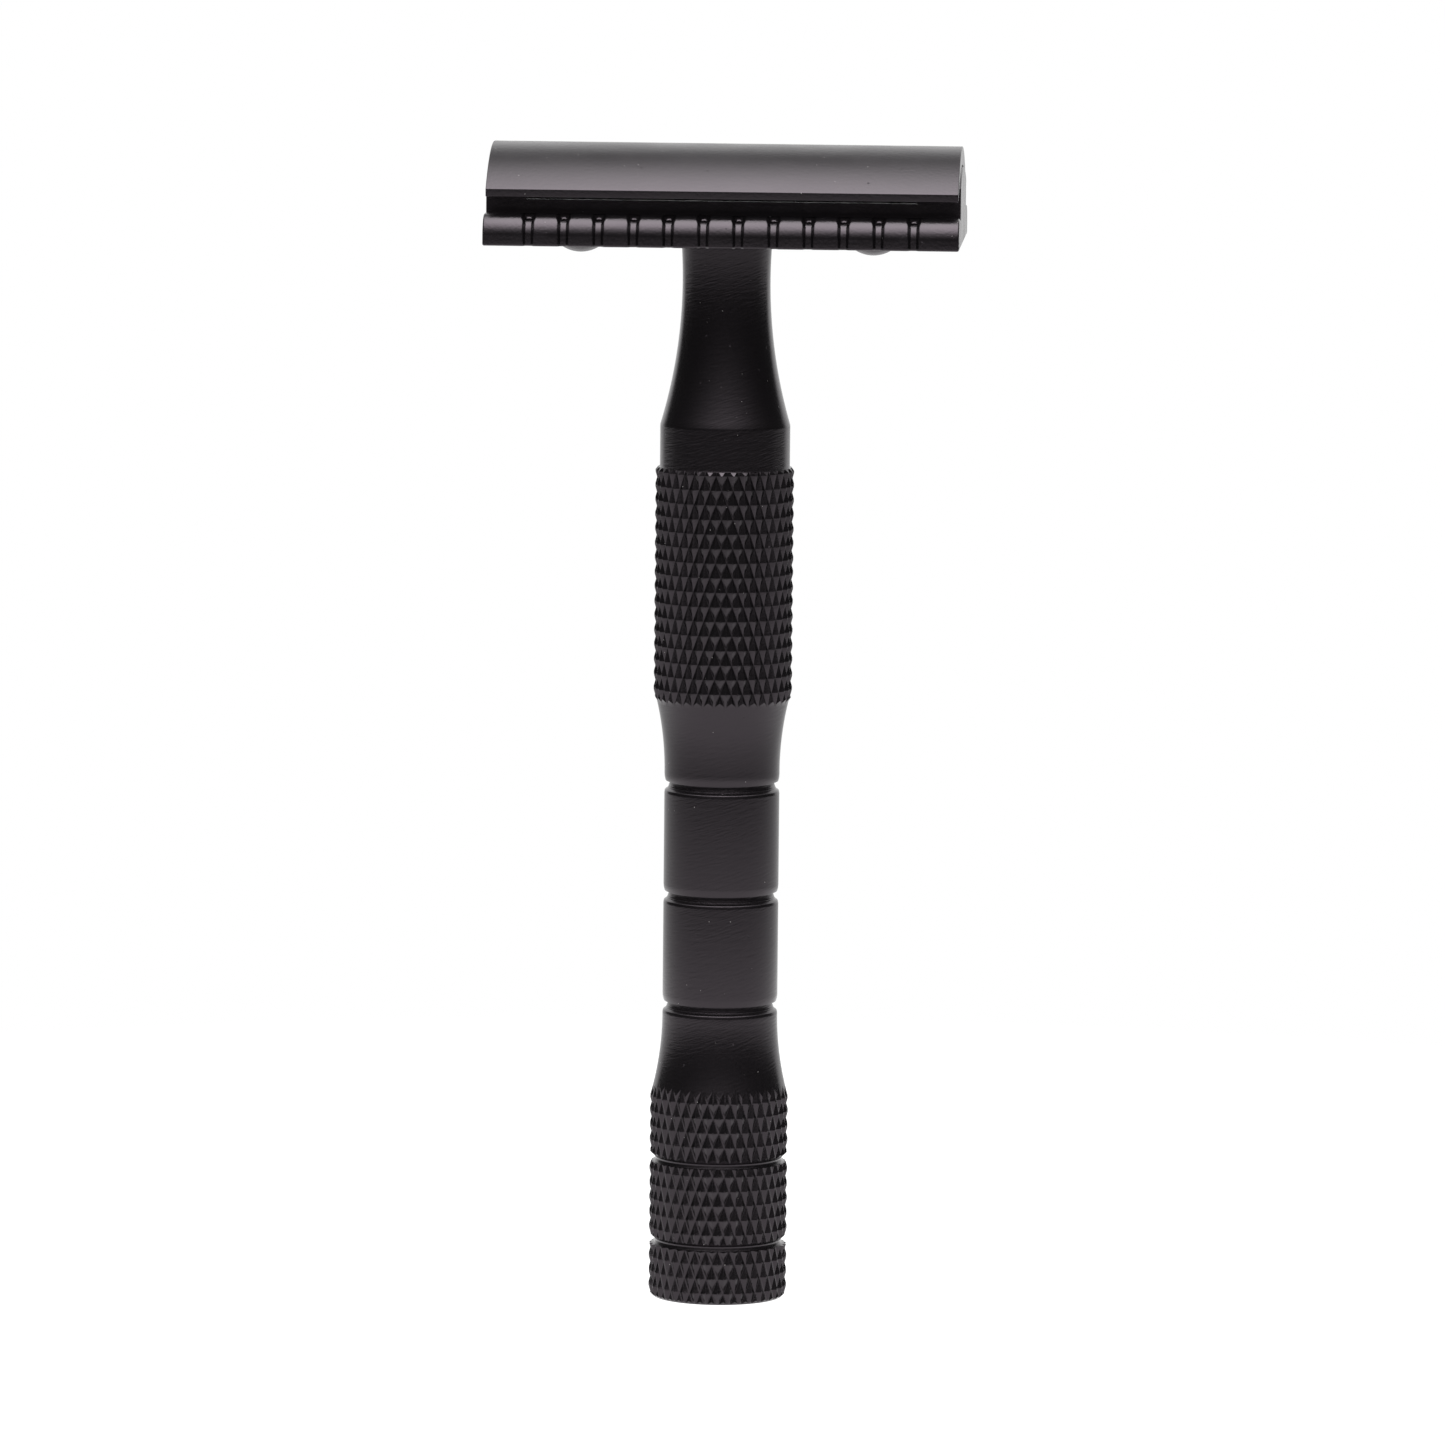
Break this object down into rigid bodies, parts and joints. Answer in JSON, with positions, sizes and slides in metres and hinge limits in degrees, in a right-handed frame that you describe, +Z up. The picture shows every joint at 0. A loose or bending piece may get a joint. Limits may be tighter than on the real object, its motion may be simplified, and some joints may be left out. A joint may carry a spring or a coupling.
{
  "type": "safety razor",
  "caption": "Three-piece double-edge safety razor: arched cap, bent blade and notched base plate, clamped by a screw thread to a long knurled handle.",
  "frame": {"origin": "centre of the handle's flat end, where the razor stands", "axes": "+Z up along the handle's axis; X along the head; the two blade edges face -Y and +Y"},
  "size_m": [0.0452, 0.0246, 0.1117],
  "materials": {
    "handle_black": "satin black anodised, fine turning marks",
    "head_black": "satin black anodised, fine bead-blasted grain",
    "insert_brass": "machined brass",
    "blade_steel": "rolled stainless steel with ground edges",
    "post_steel": "turned stainless steel"
  },
  "bodies": {
    "handle": {"handle": "handle_black", "thread_insert": "insert_brass"},
    "base": {"base_plate": "head_black"},
    "blade": {"blade": "blade_steel"},
    "cap": {"cap": "head_black", "threaded_post": "post_steel", "left_pin": "head_black", "right_pin": "head_black"}
  },
  "joints": [
    {"name": "head_turn", "type": "hinge", "parent": "handle", "child": "base", "pos_m": [0, 0, 0.1022], "axis": [0, 0, 1], "range_deg": [0, 3240]},
    {"name": "cap_lift", "type": "slide", "parent": "base", "child": "cap", "axis": [0, 0, 1], "range_m": [0, 0.0073]},
    {"name": "blade_lift", "type": "slide", "parent": "base", "child": "blade", "axis": [0, 0, 1], "range_m": [0, 0.0037]}
  ],
  "couplings": [
    {"joint": "cap_lift", "follows": "head_turn", "m_per_rad": 0.00012732},
    {"joint": "blade_lift", "follows": "head_turn", "m_per_rad": 0.000063662}
  ]
}
